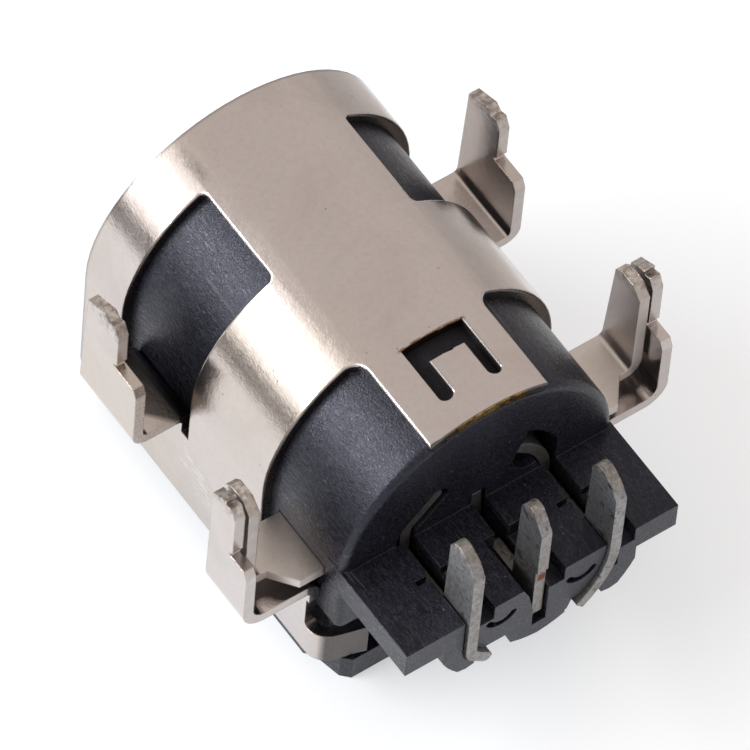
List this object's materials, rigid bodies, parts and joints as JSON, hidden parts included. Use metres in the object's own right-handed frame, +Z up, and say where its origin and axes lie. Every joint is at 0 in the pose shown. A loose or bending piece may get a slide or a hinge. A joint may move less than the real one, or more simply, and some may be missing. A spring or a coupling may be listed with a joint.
{
  "type": "dc barrel jack",
  "caption": "Board-mounted barrel power socket: a black moulding with centre pin and side contacts under a stamped arch shield with folded board legs.",
  "frame": {"origin": "centre of the bounding box's lower face, on the flat floor of the moulding", "axes": "+Z up from the flat floor towards the tips of the board legs, -Y out of the mouth that takes the plug, +Y towards the terminals, X across"},
  "size_m": [0.0116, 0.0122, 0.0086],
  "materials": {
    "shield": "nickel-plated sheet, satin",
    "moulding": "fine moulded texture",
    "contact": "tin-plated over copper alloy",
    "spring": "nickel-plated sheet, satin"
  },
  "bodies": {
    "root": {"shield_shell": "shield", "housing": "moulding", "centre_pin": "contact", "centre_terminal": "contact", "left_contact": "contact", "right_contact": "contact", "left_ground_spring": "spring", "right_ground_spring": "spring"}
  },
  "joints": []
}
